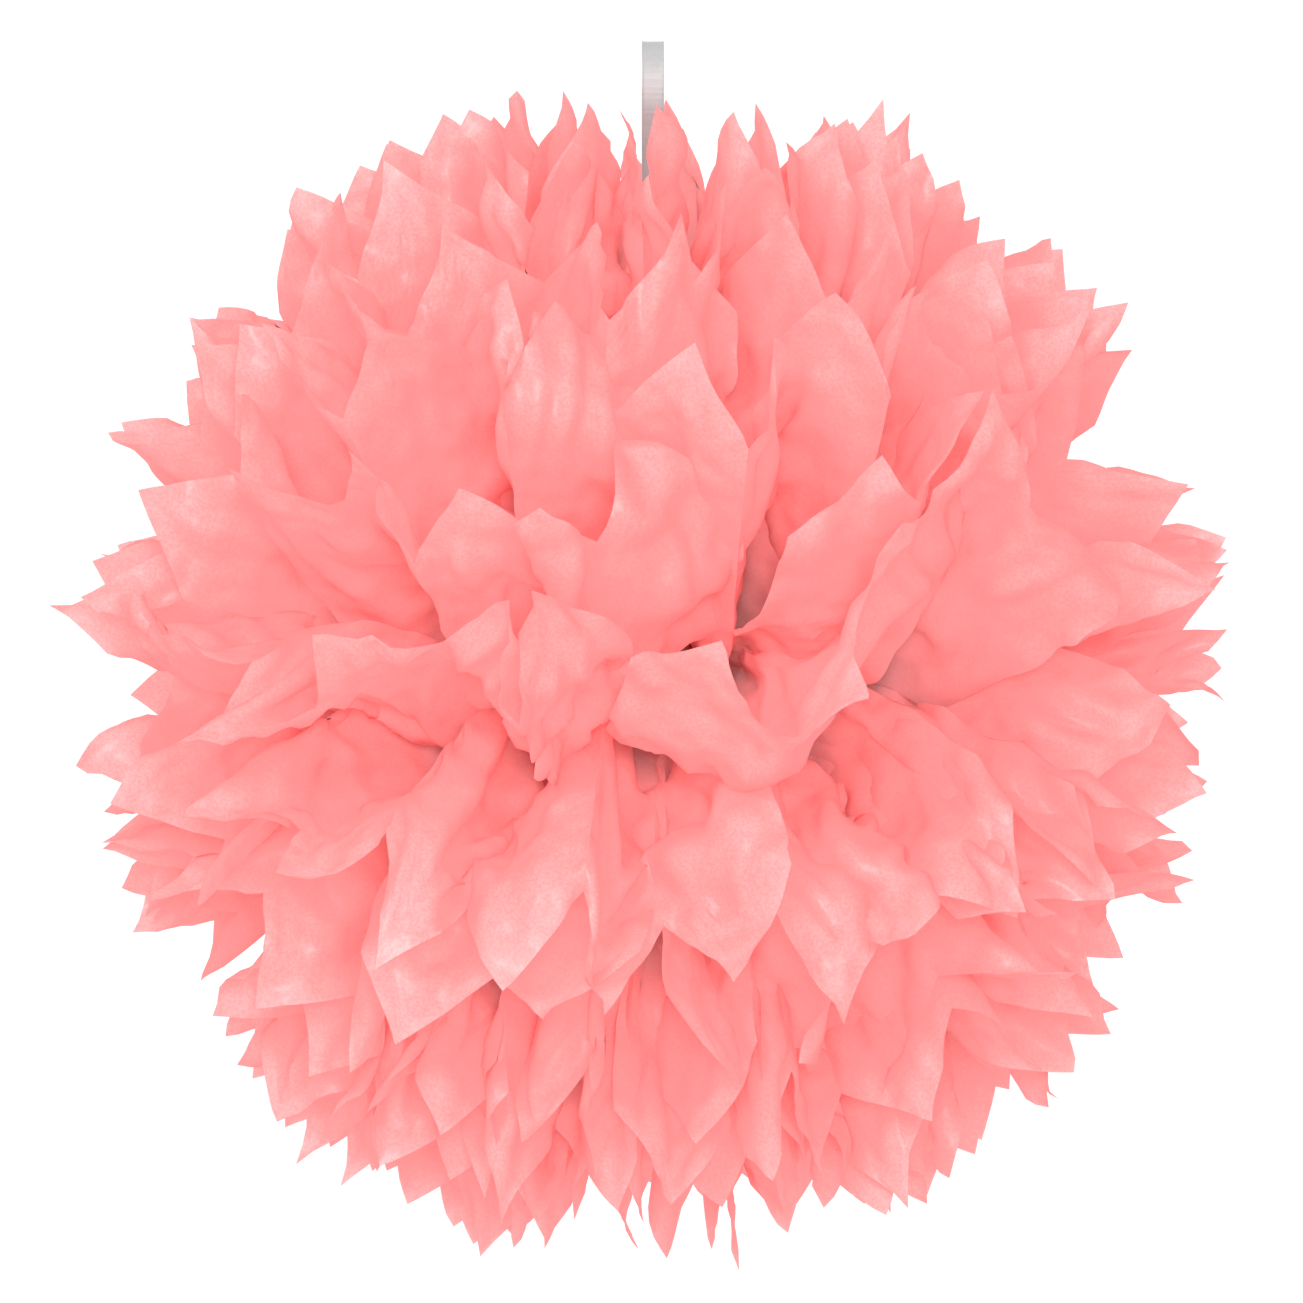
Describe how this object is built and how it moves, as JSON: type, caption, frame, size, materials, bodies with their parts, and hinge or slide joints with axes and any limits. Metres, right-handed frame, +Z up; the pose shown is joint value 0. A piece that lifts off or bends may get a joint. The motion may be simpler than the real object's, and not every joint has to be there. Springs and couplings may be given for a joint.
{
  "type": "tissue paper pom pom",
  "caption": "Hanging ball of pleated, fanned-out tissue paper sheets with pointed petals, tied at its middle with wire and hung from a flat ribbon loop",
  "frame": {"origin": "the top of the ribbon loop, where the pom pom hangs", "axes": "+Z up along the hanging ribbon, -Y towards the front seam between the two fans, +X to the right"},
  "size_m": [0.3554, 0.3502, 0.3573],
  "materials": {
    "tissue": "thin coral pink tissue paper, matt with a faint sheen",
    "wire": "bright florist wire",
    "ribbon": "pale grey satin ribbon"
  },
  "bodies": {
    "root": {"tissue_sheet_01": "tissue", "tissue_sheet_02": "tissue", "tissue_sheet_03": "tissue", "tissue_sheet_04": "tissue", "tissue_sheet_05": "tissue", "tissue_sheet_06": "tissue", "tissue_sheet_07": "tissue", "tissue_sheet_08": "tissue", "tissue_sheet_09": "tissue", "tissue_sheet_10": "tissue", "tissue_sheet_11": "tissue", "tissue_sheet_12": "tissue", "centre_wire": "wire", "hanging_ribbon": "ribbon"}
  },
  "joints": []
}
